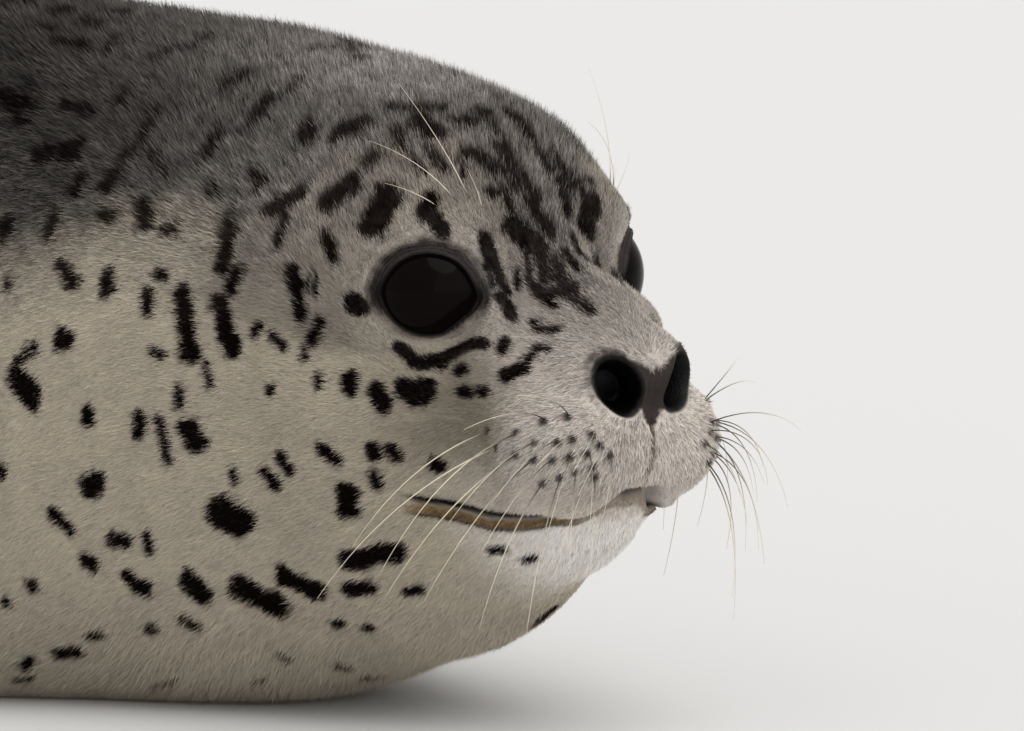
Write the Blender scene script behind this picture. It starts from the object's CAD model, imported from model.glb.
import math
import bpy
import numpy as np
from mathutils import Matrix, Vector


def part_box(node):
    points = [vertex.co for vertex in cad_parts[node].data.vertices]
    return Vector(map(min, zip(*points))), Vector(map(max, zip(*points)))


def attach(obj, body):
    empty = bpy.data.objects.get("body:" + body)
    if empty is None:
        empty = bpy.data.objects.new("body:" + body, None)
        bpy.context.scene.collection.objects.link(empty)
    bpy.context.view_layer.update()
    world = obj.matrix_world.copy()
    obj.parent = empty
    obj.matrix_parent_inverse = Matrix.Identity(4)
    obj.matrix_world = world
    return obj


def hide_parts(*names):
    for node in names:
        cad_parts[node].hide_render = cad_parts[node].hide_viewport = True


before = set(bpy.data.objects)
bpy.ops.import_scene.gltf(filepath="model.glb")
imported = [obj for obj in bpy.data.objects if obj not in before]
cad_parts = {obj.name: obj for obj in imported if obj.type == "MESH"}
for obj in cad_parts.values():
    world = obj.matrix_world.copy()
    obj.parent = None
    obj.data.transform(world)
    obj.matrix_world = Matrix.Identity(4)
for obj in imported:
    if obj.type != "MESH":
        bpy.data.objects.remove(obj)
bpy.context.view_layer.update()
random = np.random.default_rng(11)

# The animal is laid out straight in millimetres, x = 0 at its eyes, and bent at the neck last.
layout = {
    "eyeLevel": 137.0,
    "headTurn": math.radians(29),
    "bendFront": -50.0,
    "bendBack": -250.0,
    "fanCentre": (-30.0, 0.0, 104.0),
    "tailTip": -994.0,
}
eyeLevel = layout["eyeLevel"]

# distance behind the eyes, half width, back level, belly level
sections = np.array([
    [-20, 18, 106, 88],
    [0, 32, 134, 72],
    [30, 50, 172, 40],
    [60, 67, 196, 12],
    [100, 83, 206, 1],
    [150, 98, 210, -5],
    [200, 111, 215, -8],
    [300, 133, 229, -9],
    [400, 147, 243, -10],
    [500, 149, 245, -10],
    [600, 139, 231, -9],
    [700, 119, 204, -8],
    [790, 91, 164, -5],
    [850, 63, 126, 5],
    [895, 40, 99, 25],
    [930, 25, 84, 44],
    [965, 21, 77, 56],
    [990, 15, 73, 62],
    [1002, 8, 70, 65],
], float)

# centre from the eyes, radii, softness of the join
headMasses = {
    "skull": ((-47, 0, 1), (62, 66, 61), 16),
    "cheek": ((-40, 26, -40), (46, 40, 42), 16),
    "brow": ((-14, 27, 14), (22, 17, 17), 10),
    "bridge": ((8, 0, -10), (38, 13, 19), 12),
    "snout": ((14, 0, -19), (34, 25, 13), 10),
    "underEye": ((5, 30, -17), (17, 14, 14), 14),
    "muzzle": ((12, 0, -36), (38, 32, 26), 12),
    "whiskerPad": ((34, 16, -46), (22.5, 22, 20), 5),
    "upperLip": ((38, 0, -45), (17, 13, 17), 6),
    "noseTip": ((41, 0, -24), (15, 23.5, 13.5), 6),
    "chin": ((22, 0, -68), (23, 23, 11), 8),
    "jaw": ((-12, 0, -68), (50, 38, 31), 14),
    "throat": ((-45, 0, -78), (50, 54, 42), 16),
}
limbMasses = {
    "shoulder": ((-262, 84, -87), (62, 44, 38), 24),
    "shank": ((-866, 30, -88), (58, 23, 28), 20),
}


def smoothStep(low, high, x):
    t = np.clip((x - low) / (high - low), 0, 1)
    return t * t * (3 - 2 * t)


def mix(a, b, t):
    return a + (b - a) * t


def unit(v):
    return v / np.maximum(np.linalg.norm(v, axis=-1, keepdims=True), 1e-9)


def sectionSize(back, column):
    at, value = sections[:, 0], sections[:, column]
    slope = np.gradient(value)
    slope[1:-1] = (value[2:] - value[:-2]) / (at[2:] - at[:-2])
    slope[0] = (value[1] - value[0]) / (at[1] - at[0])
    slope[-1] = (value[-1] - value[-2]) / (at[-1] - at[-2])
    i = np.clip(np.searchsorted(at, back) - 1, 0, len(at) - 2)
    span = at[i + 1] - at[i]
    t = np.clip((back - at[i]) / span, 0, 1)
    rise = value[i + 1] - value[i]
    bend = (slope[i] * span - rise) * (1 - t) - (slope[i + 1] * span - rise) * t
    return value[i] + rise * t + t * (1 - t) * bend


def axisHeight(x):
    back = np.maximum(-x, 30)
    middle = (sectionSize(back, 2) + np.maximum(sectionSize(back, 3), 0)) / 2
    return mix(layout["fanCentre"][2], middle, smoothStep(30, 120, -x))


def softMin(a, b, soft):
    h = np.maximum(soft - np.abs(a - b), 0) / soft
    return np.minimum(a, b) - h * h * soft / 4


def sweptField(p):
    back = -p[:, 0]
    half, top, low = (sectionSize(back, c) for c in (1, 2, 3))
    widest = low + (top - low) * 0.45
    upper = p[:, 2] > widest
    power = np.where(upper, 2.15, 2.6)
    tall = np.where(upper, top - widest, widest - low)
    across = (np.abs(p[:, 1]) / half) ** power + (np.abs(p[:, 2] - widest) / tall) ** power
    return np.maximum((across ** (1 / power) - 1) * np.minimum(half, tall), p[:, 0] - 20)


def massField(mass, p):
    at, size = np.array(mass[0], float), np.array(mass[1], float)
    q = np.stack([p[:, 0], np.abs(p[:, 1]), p[:, 2] - eyeLevel], 1) - at
    q /= size
    near = np.linalg.norm(q, axis=1)
    steep = np.linalg.norm(q / size, axis=1)
    return near * (near - 1) / np.maximum(steep, 1e-6)


# under zero inside the animal, near its surface roughly a distance
def bodyField(p):
    d = sweptField(p)
    for inHead, masses in ((p[:, 0] > -130, headMasses), (p[:, 0] <= -130, limbMasses)):
        if inHead.any():
            q, e = p[inHead], d[inHead]
            for mass in masses.values():
                e = softMin(e, massField(mass, q), mass[2])
            d[inHead] = e
    return d


# distance along each ray at which it leaves the animal
def reach(origin, direction, start=175.0, steps=26):
    r = np.full(len(direction), start)
    for _ in range(steps):
        r -= 0.88 * bodyField(origin + direction * r[:, None])
    return r


def around(turn, away):
    return np.stack([np.cos(away) + 0 * turn, np.sin(away) * np.sin(turn), np.sin(away) * np.cos(turn)], -1)


# how far the skin lies inside the outline: the coat's depth, and a little more at forehead and chin
coatDepths = {"flank": 2.6, "face": 1.3, "crown": 4.6, "forehead": 2.7, "chin": 2.4, "crownHeight": 80}


def coatDepth(p):
    height = (p[:, 2] - eyeLevel * 0.9) / coatDepths["crownHeight"]
    crown = smoothStep(0.25, 0.95, height) * smoothStep(40, -30, p[:, 0])
    flank = mix(coatDepths["flank"], coatDepths["face"], smoothStep(-70, 10, p[:, 0]))
    depth = mix(flank, coatDepths["crown"], crown) * smoothStep(-0.5, 14, p[:, 2])
    level = p[:, 2] - eyeLevel
    forehead = smoothStep(14, 36, level) * smoothStep(-80, -36, p[:, 0]) * smoothStep(16, -6, p[:, 0])
    chin = smoothStep(-68, -78, level) * smoothStep(-16, 14, p[:, 0])
    return depth + coatDepths["forehead"] * forehead + coatDepths["chin"] * chin


def bendPath():
    x = np.linspace(layout["bendBack"], layout["bendFront"], 801)
    turn = -layout["headTurn"] * smoothStep(layout["bendBack"], layout["bendFront"], x)
    step = x[1] - x[0]
    middle = (turn[1:] + turn[:-1]) / 2
    along = layout["bendBack"] + np.concatenate([[0], np.cumsum(np.cos(middle)) * step])
    aside = np.concatenate([[0], np.cumsum(np.sin(middle)) * step])
    return x, along, aside


bendAt, bendAlong, bendAside = bendPath()


def bent(p):
    x, y = p[:, 0], p[:, 1]
    turn = -layout["headTurn"] * smoothStep(layout["bendBack"], layout["bendFront"], x)
    beyond = np.maximum(x - layout["bendFront"], 0) + np.minimum(x - layout["bendBack"], 0)
    px = np.interp(x, bendAt, bendAlong) + beyond * np.cos(turn) - y * np.sin(turn)
    py = np.interp(x, bendAt, bendAside) + beyond * np.sin(turn) + y * np.cos(turn)
    return np.stack([px, py, p[:, 2]], 1)


eyeBall = {"at": np.array([-9.8, 31.6, -1.5]), "radius": 18.2, "wide": 13.2, "tall": 12.0}
eyeOut = np.array([math.sqrt(0.5), math.sqrt(0.5), 0])
eyeFore = np.array([math.sqrt(0.5), -math.sqrt(0.5), 0])
bothSides = ((1, "left"), (-1, "right"))
eyeLow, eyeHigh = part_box("eye_left")
frameShift = np.array([*((eyeLow + eyeHigh) / 2)]) * 1000 - bent((eyeBall["at"] + [0, 0, eyeLevel])[None])[0]


def toFrame(p):
    return (bent(p) + frameShift) * 0.001


# smooth random numbers between -1 and 1 that vary in space
scramble = {
    "offset": 1000.5, "seedStep": 17.3,
    "x": 73856093, "y": 19349663, "z": 83492791, "last": 1274126177,
}


def noise(p, size, seed=0):
    q = p / size + scramble["offset"] + seed * scramble["seedStep"]
    cell = np.floor(q).astype(np.int64)
    f = q - cell
    f = f * f * (3 - 2 * f)
    total = 0.0
    for i in (0, 1):
        for j in (0, 1):
            for k in (0, 1):
                h = (cell[:, 0] + i) * scramble["x"] ^ (cell[:, 1] + j) * scramble["y"]
                h = h ^ (cell[:, 2] + k) * scramble["z"]
                h = ((h ^ (h >> 13)) * scramble["last"]) & 0x7FFFFFFF
                value = ((h ^ (h >> 16)) & 0xFFFF) / 32767.5 - 1
                w = (f[:, 0] if i else 1 - f[:, 0]) * (f[:, 1] if j else 1 - f[:, 1])
                total = total + w * (f[:, 2] if k else 1 - f[:, 2]) * value
    return total


# face features, measured from the eyes
lipLine = np.array([
    [-11, -62], [4, -64], [16, -66.5], [30, -67], [42, -63], [50, -57.5], [62, -56],
], float)
face = {
    "grooveDepth": 2.0,
    "grooveWidth": 0.9,
    "upperLip": 0.9,
    "lowerLip": 0.8,
    "chinTuck": 4.6,
    "nostrilAt": (52.3, 12.4, -27.0),
    "nostrilFacing": (0.9, 0.42, 0.08),
    "nostrilLong": 9.4,
    "nostrilShort": 6.6,
    "nostrilLean": 0.6,
    "nostrilDepth": 13.0,
    "septumTop": -19.0,
    "septumFoot": -36.0,
    "earAt": (-28, 63, 0),
    "earFold": (1.6, 8, 4.2),
    "earDark": (2.0, 9, 4.6),
    "socketDepth": 7.0,
    "lipDrop": 4.2,
    "lipSlant": 0.96,
}


def faceFrame(p):
    return np.stack([p[:, 0], p[:, 1], p[:, 2] - eyeLevel], 1)


def mirrored(f):
    return np.stack([f[:, 0], np.abs(f[:, 1]), f[:, 2]], 1)


# height above the closed mouth's line, and how near the mouth is
def lipHeight(f):
    line = np.interp(f[:, 0], lipLine[:, 0], lipLine[:, 1])
    line -= face["lipDrop"] * smoothStep(6, 16, np.abs(f[:, 1])) * smoothStep(30, 40, f[:, 0])
    here = smoothStep(-9, -3, f[:, 0]) * smoothStep(-95, -85, f[:, 2]) * smoothStep(52, 46, f[:, 0])
    height = (f[:, 2] - line) * face["lipSlant"]
    # under the pads the skin lies level, so its height is turned into a distance along the skin
    near = np.nonzero((np.abs(height) < 7) & (f[:, 0] > 24) & (here > 0))[0]
    q = f[near] + [0, 0, eyeLevel]
    rise = bodyField(q + [0, 0, 0.5]) - bodyField(q - [0, 0, 0.5])
    steep = mix(1.0, np.sqrt(np.clip(1 - rise ** 2, 0.06, 1)), smoothStep(24, 32, f[near, 0]))
    height[near] *= mix(1 / steep, 1.0, smoothStep(3, 7, np.abs(height[near])))
    return height, here


# 0 in the middle of a nostril, 1 at its rim
def nostrilRing(f):
    facing = np.array(face["nostrilFacing"])
    facing /= np.linalg.norm(facing)
    q = mirrored(f) - np.array(face["nostrilAt"])
    across = unit(np.cross([0, 0, 1.0], facing))
    up = np.cross(facing, across)
    lean = face["nostrilLean"]
    long = up * math.cos(lean) + across * math.sin(lean)
    short = across * math.cos(lean) - up * math.sin(lean)
    a, b, c = q @ long, q @ short, q @ facing
    return np.sqrt((a / face["nostrilLong"]) ** 2 + (b / face["nostrilShort"]) ** 2 + (c / 11) ** 2), facing


# bare skin of the nose: a rim round each nostril and the wedge between them
def noseBare(f):
    ring, _ = nostrilRing(f)
    top = face["septumTop"] - 3.2 * np.exp(-((f[:, 1] / 5.5) ** 2))
    down = (top - f[:, 2]) / (face["septumTop"] - face["septumFoot"])
    half = mix(9.5, 4.6, np.clip(down, 0, 1)) * np.sqrt(np.clip(1.06 - down, 0, 0.36) / 0.36)
    fringe = 0.9 * noise(f * [0.3, 1, 0.5], 1.1, 51)
    wedge = smoothStep(0.9, -0.9, np.abs(f[:, 1]) - half + fringe)
    wedge *= smoothStep(-0.06, 0.06, down + 0.06 * fringe)
    wedge *= smoothStep(1.06, 0.98, down)
    wedge *= smoothStep(38, 42, f[:, 0])
    return np.maximum(wedge, smoothStep(1.2, 1.08, ring))


# distance from the middle of an eye's opening, 1 at the lids' edge
def eyeRing(f):
    q = mirrored(f) - eyeBall["at"]
    h, v, n = q @ eyeFore, q[:, 2], q @ eyeOut
    ring = np.sqrt((h / eyeBall["wide"]) ** 2 + (v / eyeBall["tall"]) ** 2)
    return np.where(n > -4, ring, 9.0), h, v, n


# roots of the whiskers on one pad, from the eyes
whiskerDots = np.array([
    (42, 33, -36), (47, 28, -35), (34, 36, -40), (18, 33, -41), (41, 35, -42), (47, 32, -42),
    (50, 29, -41), (53, 24, -40), (35, 37, -46), (41, 36, -47), (46, 33, -47), (50, 30, -46),
    (53, 26, -45), (54, 22, -43), (55, 19, -46), (53, 24, -49), (50, 28, -50), (47, 31, -52),
    (42, 33, -54), (53, 23, -52), (25, 36, -45),
], float)


def sculptHead(p, normal):
    f = faceFrame(p)
    half = mirrored(f)
    side = np.sign(f[:, 1] + 1e-9)
    s, here = lipHeight(f)
    groove = -face["grooveDepth"] * np.exp(-((s / face["grooveWidth"]) ** 2))
    upper = face["upperLip"] * np.exp(-(((s - 3.2) / 2.0) ** 2))
    lower = face["lowerLip"] * np.exp(-(((s + 2.6) / 1.6) ** 2))
    tuck = face["chinTuck"] * smoothStep(0.4, -0.8, s) * smoothStep(-24, -8, s) * smoothStep(15, 46, f[:, 0])
    out = (groove + upper + lower) * here - tuck
    ring, facing = nostrilRing(f)
    pit = face["nostrilDepth"] * smoothStep(1.0, 0.55, ring)
    out += 0.8 * np.exp(-(((ring - 1.15) / 0.14) ** 2))
    cleft = smoothStep(-34, -38, f[:, 2]) * smoothStep(-60, -56, f[:, 2]) * smoothStep(30, 44, f[:, 0])
    out -= 1.2 * np.exp(-((f[:, 1] / 0.9) ** 2)) * cleft
    septum = smoothStep(-18, -22, f[:, 2]) * smoothStep(-38, -33, f[:, 2]) * smoothStep(40, 46, f[:, 0])
    out -= 1.4 * np.exp(-((f[:, 1] / 2.4) ** 2)) * septum
    ear = np.linalg.norm((half - face["earAt"]) / face["earFold"], axis=1)
    out += 0.5 * np.exp(-(((ear - 1.5) / 0.4) ** 2)) - 3.0 * smoothStep(1.1, 0.4, ear)
    for dot in whiskerDots:
        near = np.linalg.norm(half - dot, axis=1)
        out += 0.55 * np.exp(-((near / 1.5) ** 2))
    moved = p + normal * out[:, None]
    into = np.stack([facing[0] + 0 * side, facing[1] * side, facing[2] + 0 * side], 1)
    moved -= into * pit[:, None]
    socket = face["socketDepth"] * smoothStep(1.62, 1.32, eyeRing(f)[0])
    inward = np.stack([np.full(len(p), math.sqrt(0.5)), math.sqrt(0.5) * side, np.zeros(len(p))], 1)
    return moved - inward * socket[:, None]


# rows of skin that fan out from the nose (first and last degree, step, columns),
# then step back to the tail (first and last place, step, columns)
skinRows = {
    "fan": [
        (0.8, 4, 0.8, 64), (4, 8, 0.6, 128), (8, 16, 0.5, 256),
        (16, 42, 0.5, 512), (42, 80, 1.0, 512), (80, 90, 1.2, 256),
    ],
    "back": [(-30, -130, -3.0, 256), (-130, layout["tailTip"], -6.5, 128)],
}


def bodyRows():
    rows = []
    fine = 1
    for low, high, step, columns in skinRows["fan"]:
        for away in np.arange(low, high, step * fine):
            rows.append((layout["fanCentre"][0], math.radians(away), columns // fine))
    for front, back, step, columns in skinRows["back"]:
        for x in np.arange(front, back, step * fine):
            rows.append((x, math.pi / 2, columns // fine))
    return rows


def skinPoints(origin, direction):
    r = reach(origin, direction)
    p = origin + direction * r[:, None]
    r = r - coatDepth(p)
    fall = np.maximum(-direction[:, 2], 1e-4)
    floorReach = np.where(direction[:, 2] < -1e-4, (origin[:, 2] - 0.4) / fall, 1e9)
    return origin + direction * np.minimum(r, floorReach)[:, None]


# points, faces and their places on the unwrap, gathered part by part
class Surface:
    def __init__(self):
        self.points, self.corners, self.sides, self.places = [], [], [], []
        self.count = 0

    def add(self, points):
        first = self.count
        self.points.append(points)
        self.count += len(points)
        return first

    def faces(self, corners, places):
        self.corners.append(corners.reshape(-1))
        self.sides.append(np.full(len(corners), corners.shape[1]))
        self.places.append(places.reshape(-1, 2))


def ringTurns(columns):
    return np.arange(columns) / columns * 2 * math.pi


# the columns of a ring and the ones next to them
def ringPairs(columns):
    c = np.arange(columns)
    return c, (c + 1) % columns


def gridFaces(surface, first, second, columns, level, nextLevel, place):
    c, n = ringPairs(columns)
    corners = np.stack([first + c, first + n, second + n, second + c], 1)
    u0, u1 = c / columns, (c + 1) / columns
    v0, v1 = np.full(columns, level), np.full(columns, nextLevel)
    places = np.stack([place(u0, v0), place(u1, v0), place(u1, v1), place(u0, v1)], 1)
    surface.faces(corners, places)


# the same where a ring of skin meets one with half or twice its columns
def stitchFaces(surface, coarse, fine, columns, levelCoarse, levelFine, place, outward):
    c, n = ringPairs(columns)
    f = [fine + (2 * c + k) % (2 * columns) for k in range(3)]
    u0, um, u1 = c / columns, (c + 0.5) / columns, (c + 1) / columns
    a, b = np.full(columns, levelCoarse), np.full(columns, levelFine)
    triples = (
        ((coarse + c, u0, a), (f[1], um, b), (f[0], u0, b)),
        ((coarse + c, u0, a), (coarse + n, u1, a), (f[1], um, b)),
        ((coarse + n, u1, a), (f[2], u1, b), (f[1], um, b)),
    )
    for triple in triples:
        if not outward:
            triple = triple[::-1]
        corners = np.stack([t[0] for t in triple], 1)
        places = np.stack([place(t[1], t[2]) for t in triple], 1)
        surface.faces(corners, places)


def bodySkin(surface):
    rows = bodyRows()
    place = lambda u, v: np.stack([u, v * 0.79], -1)
    level = np.linspace(0.004, 1, len(rows))
    origins, directions = [], []
    for x, away, columns in rows:
        turns = ringTurns(columns)
        height = layout["fanCentre"][2]
        if x < layout["fanCentre"][0]:
            height = float(axisHeight(np.array([x]))[0])
        origins.append(np.tile([x, 0.0, height], (columns, 1)))
        directions.append(around(turns, away))
    points = skinPoints(np.concatenate(origins), np.concatenate(directions))
    starts = np.concatenate([[0], np.cumsum([row[2] for row in rows])])
    first = surface.add(points)
    for k in range(len(rows) - 1):
        a, b = first + starts[k], first + starts[k + 1]
        na, nb = rows[k][2], rows[k + 1][2]
        if na == nb:
            gridFaces(surface, a, b, na, level[k], level[k + 1], place)
        elif nb == 2 * na:
            stitchFaces(surface, a, b, na, level[k], level[k + 1], place, True)
        else:
            stitchFaces(surface, b, a, nb, level[k + 1], level[k], place, False)
    ends = surface.add(np.array([
        skinPoints(np.array([layout["fanCentre"]]), np.array([[1.0, 0, 0]]))[0],
        [rows[-1][0] - 3, 0, float(axisHeight(np.array([rows[-1][0]]))[0])],
    ]))
    nose, tail = (ends, 0, 0.0, level[0], 1), (ends + 1, len(rows) - 1, 1.0, level[-1], -1)
    for tip, row, v0, v1, order in (nose, tail):
        columns = rows[row][2]
        c, n = ringPairs(columns)
        low, high = np.full(columns, v0), np.full(columns, v1)
        corners = np.stack([np.full(columns, tip), first + starts[row] + n, first + starts[row] + c], 1)
        places = [place((c + 0.5) / columns, low), place((c + 1) / columns, high), place(c / columns, high)]
        surface.faces(corners[:, ::order], np.stack(places, 1)[:, ::order])
    return first, len(points) + 2


# an eyelid: rings from inside the opening out to where they meet the face
lids = {
    "edge": 0.9, "columns": 150, "foldStep": 0.072, "foldDepth": 0.22, "outer": 1.75,
    "rings": 26, "quickRings": 14, "inner": [0.80, 0.90, 0.955],
}


def lidRings():
    fine = lids["rings"]
    return np.concatenate([lids["inner"], np.linspace(0.985, 1.46, fine), np.linspace(1.5, lids["outer"], 5)])


# how far the dark skin of the eye's corners reaches, as a part of the opening's size
def cornerReach(turn):
    inner = 0.17 * np.exp(-((np.angle(np.exp(1j * (turn + 0.12))) / 0.30) ** 2))
    outer = 0.13 * np.exp(-((np.angle(np.exp(1j * (turn - math.pi))) / 0.34) ** 2))
    return inner + outer


def lidPoints(side):
    columns = lids["columns"]
    ee, tt = np.meshgrid(lidRings(), ringTurns(columns), indexing="ij")
    ee, tt = ee.ravel(), tt.ravel()
    stretch = 1 + 0.5 * cornerReach(tt) * np.clip((1.5 - ee) / 0.5, 0, 1)
    h = ee * eyeBall["wide"] * np.cos(tt) * stretch
    v = ee * eyeBall["tall"] * np.sin(tt)
    base = (eyeBall["at"] + [0, 0, eyeLevel]) + h[:, None] * eyeFore + v[:, None] * [0, 0, 1.0]
    r = reach(base, np.tile(eyeOut, (len(base), 1)), start=34.0, steps=30)
    r -= coatDepth(base + eyeOut * r[:, None])
    flat = np.hypot(h, v)
    radius = eyeBall["radius"]
    ball = np.sqrt(np.maximum((radius + lids["edge"] * smoothStep(0.97, 1.05, ee)) ** 2 - flat ** 2, 30.0))
    upper = 0.5 + 0.5 * np.sin(tt)
    n = mix(ball, r, smoothStep(1.04, 1.5, ee))
    wander = 0.020 * np.sin(tt * 5) + 0.012 * np.sin(tt * 11 + 1)
    folds = np.sin((ee - 1.03 + wander) / lids["foldStep"] * 2 * math.pi)
    folds *= smoothStep(1.02, 1.08, ee) * smoothStep(1.42, 1.25, ee)
    n += lids["foldDepth"] * folds * (0.5 + 0.5 * upper)
    n += 0.8 * np.exp(-(((ee - 1.1) / 0.09) ** 2)) * (0.2 + 0.8 * upper)
    n = mix(n, np.sqrt(np.maximum(radius ** 2 - flat ** 2, 1)) - 1.6, smoothStep(0.985, 0.92, ee))
    n -= 0.5 * smoothStep(1.62, lids["outer"], ee)
    p = base + eyeOut * n[:, None]
    p[:, 1] *= side
    return p, len(lidRings()), columns


# faces between the rings of an eyelid or a flipper, wound the other way round when flipped
def bandFaces(surface, first, columns, levels, place, flipped):
    c, n = ringPairs(columns)
    u0, u1 = c / columns, (c + 1) / columns
    order = -1 if flipped else 1
    for k in range(len(levels) - 1):
        a, b = first + k * columns, first + (k + 1) * columns
        corners = np.stack([a + c, b + c, b + n, a + n], 1)
        v0, v1 = np.full(columns, levels[k]), np.full(columns, levels[k + 1])
        places = np.stack([place(u0, v0), place(u0, v1), place(u1, v1), place(u1, v0)], 1)
        surface.faces(corners[:, ::order], places[:, ::order])


def lidSkin(surface, side):
    p, rings, columns = lidPoints(side)
    first = surface.add(p)
    at = 0.5 if side > 0 else 0.0
    place = lambda u, v: np.stack([at + u * 0.49, 0.80 + v * 0.055], -1)
    bandFaces(surface, first, columns, np.arange(rings) / (rings - 1), place, side > 0)
    return first, len(p)


def placer(root, along, across):
    def put(side, x, y, z, lift):
        a = unit(np.array([along[0], along[1] * side, along[2]]))
        b = np.array([across[0], across[1] * side, across[2]])
        b = unit(b - a * (a @ b))
        up = np.cross(a, b) * side
        p = np.array([root[0], root[1] * side, root[2]]) + x[:, None] * a + y[:, None] * b + z[:, None] * up
        p[:, 2] += lift
        return p
    return put


flippers = {
    "fore": {
        "length": 172, "rootHalf": 26, "tipHalf": 37, "rootThick": 34, "tipThick": 9,
        "lift": 36, "groove": 0.45, "web": 0.05,
        "digits": [0.97, 1, 0.95, 0.87, 0.77],
        "put": placer([-244, 96, 8], [-0.93, 0.36, -0.015], [-0.36, -0.93, 0.16]),
        "claw": {"length": 21, "radius": 2.9, "curl": 0.25, "lead": 10},
    },
    "hind": {
        "length": 196, "rootHalf": 22, "tipHalf": 63, "rootThick": 36, "tipThick": 7,
        "lift": 0, "groove": 0.5, "web": 0.06,
        "digits": [0.97, 0.9, 0.87, 0.92, 1],
        "put": placer([-884, 31, 48], [-0.985, 0.16, -0.02], [0, -0.62, 0.78]),
        "claw": {"length": 15, "radius": 2.3, "curl": 0.3, "lead": 6},
    },
}


def digitOff(shape, v):
    count = len(shape["digits"])
    at = (v + 1) / 2 * count - 0.5
    return np.minimum(np.abs(at - np.clip(np.round(at), 0, count - 1)) * 2, 1)


def flipperPoints(shape, side, u, v, upper, skinDepth=0.7):
    digits = np.array(shape["digits"])
    off = digitOff(shape, v)
    at = np.clip((v + 1) / 2 * len(digits) - 0.5, 0, len(digits) - 1)
    length = shape["length"] * (np.interp(at, np.arange(len(digits)), digits) - shape["web"] * off ** 1.6)
    half = mix(shape["rootHalf"], shape["tipHalf"], smoothStep(0, 1, u))
    thick = mix(shape["rootThick"], shape["tipThick"], smoothStep(0, 0.75, u))
    rounded = np.sqrt(np.maximum(1 - v * v, 0)) ** (1 + 0.2 * u)
    ridge = 1 - shape["groove"] * smoothStep(0.3, 0.8, u) * off * off
    height = thick * rounded * ridge * np.sqrt(np.maximum(1 - u ** 6, 0))
    height = np.maximum(height - 2 * skinDepth * smoothStep(0, 4, thick * rounded), 0.5)
    drop = shape["lift"] * (1 - smoothStep(0.05, 0.62, u))
    reachOut = (length - skinDepth * u) * u
    p = shape["put"](side, reachOut, v * (half - skinDepth), upper * height / 2, drop)
    p[:, 2] = np.maximum(p[:, 2], 0.3)
    return p


def flipperSkin(surface, shape, side, slot):
    rows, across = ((38, 32))
    u = np.linspace(0, 1, rows) ** 0.9
    v = np.sin(np.linspace(-1, 1, across + 1) * math.pi / 2) * 0.5 + np.linspace(-1, 1, across + 1) * 0.5
    columns = 2 * across
    ringV = np.concatenate([v[:-1], v[:0:-1]])
    ringUpper = np.concatenate([np.full(across, 1.0), np.full(across, -1.0)])
    ringUpper[0] = ringUpper[across] = 0.0
    points = [flipperPoints(shape, side, np.full(columns, a), ringV, ringUpper) for a in u]
    first = surface.add(np.concatenate(points))
    place = lambda a, b: np.stack([(slot + a * 0.98) / 4, 0.862 + b * 0.136], -1)
    bandFaces(surface, first, columns, u, place, side < 0)
    # the tip's two rows meet across its thickness
    c = np.arange(1, across)
    m = columns - c
    last = first + (rows - 1) * columns
    low = np.minimum(c + 1, across)
    corners = np.stack([last + c, last + m % columns, last + (columns - low) % columns, last + low], 1)
    keep = c + 1 <= across - 1
    corners = corners[keep]
    places = np.zeros((len(corners), 4, 2)) + [(slot + 0.5) / 4, 0.999]
    surface.faces(corners[:, ::side], places)
    for a, b, d in ((0, 1, columns - 1), (across, across + 1, across - 1)):
        tri = np.array([[last + a, last + d, last + b]])
        surface.faces(tri[:, ::side], np.zeros((1, 3, 2)) + [(slot + 0.5) / 4, 0.999])
    return first, rows * columns


def vertexNormals(points, corners, sides):
    starts = np.concatenate([[0], np.cumsum(sides)[:-1]])
    a, b, c = (points[corners[starts + k]] for k in range(3))
    faceNormal = np.cross(b - a, c - a)
    quad = sides == 4
    d = points[corners[starts[quad] + 3]]
    faceNormal[quad] += np.cross(c[quad] - a[quad], d - a[quad])
    normal = np.zeros_like(points)
    for k in range(4):
        use = sides > k
        np.add.at(normal, corners[starts[use] + k], faceNormal[use])
    return unit(normal)


def buildSkin():
    surface = Surface()
    first, count = bodySkin(surface)
    parts = {"body": (first, count)}
    for side, name in bothSides:
        parts["lid_" + name] = lidSkin(surface, side)
    slot = 0
    for kind in ("fore", "hind"):
        for side, name in bothSides:
            parts[kind + "_" + name] = flipperSkin(surface, flippers[kind], side, slot)
            slot += 1
    points = np.concatenate(surface.points)
    corners = np.concatenate(surface.corners)
    sides = np.concatenate(surface.sides)
    places = np.concatenate(surface.places)
    normal = vertexNormals(points, corners, sides)
    body = slice(first, first + count)
    head = np.zeros(len(points), bool)
    head[body] = points[body, 0] > -75
    plain = points.copy()
    points[head] = sculptHead(points[head], normal[head])
    return points, plain, corners, sides, places, parts


skin = {}
skin["points"], skin["plain"], skin["corners"], skin["sides"], skin["places"], skin["parts"] = buildSkin()
skin["normal"] = vertexNormals(skin["points"], skin["corners"], skin["sides"])
print("skin", len(skin["points"]), "points", len(skin["sides"]), "faces")


# screen colours of skin, coat and whiskers, turned into light
tints = {
    "pale": (0.722, 0.685, 0.62),
    "faceGrey": (0.53, 0.50, 0.442),
    "browGrey": (0.53, 0.505, 0.475),
    "muzzle": (0.80, 0.765, 0.73),
    "chin": (0.95, 0.93, 0.90),
    "mantle": (0.335, 0.322, 0.31),
    "spot": (0.05, 0.022, 0.018),
    "lid": (0.185, 0.165, 0.16),
    "lidLow": (0.42, 0.385, 0.36),
    "rim": (0.03, 0.022, 0.02),
    "nose": (0.19, 0.165, 0.155),
    "whisker": (0.90, 0.86, 0.77),
    "whiskerRoot": (0.16, 0.12, 0.10),
    "lipDark": (0.07, 0.045, 0.035),
    "lipOchre": (0.47, 0.385, 0.285),
    "flipper": (0.36, 0.33, 0.29),
}


def toLight(c):
    return ((c + 0.055) / 1.055) ** 2.4 if c > 0.04 else c / 12.92


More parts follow.
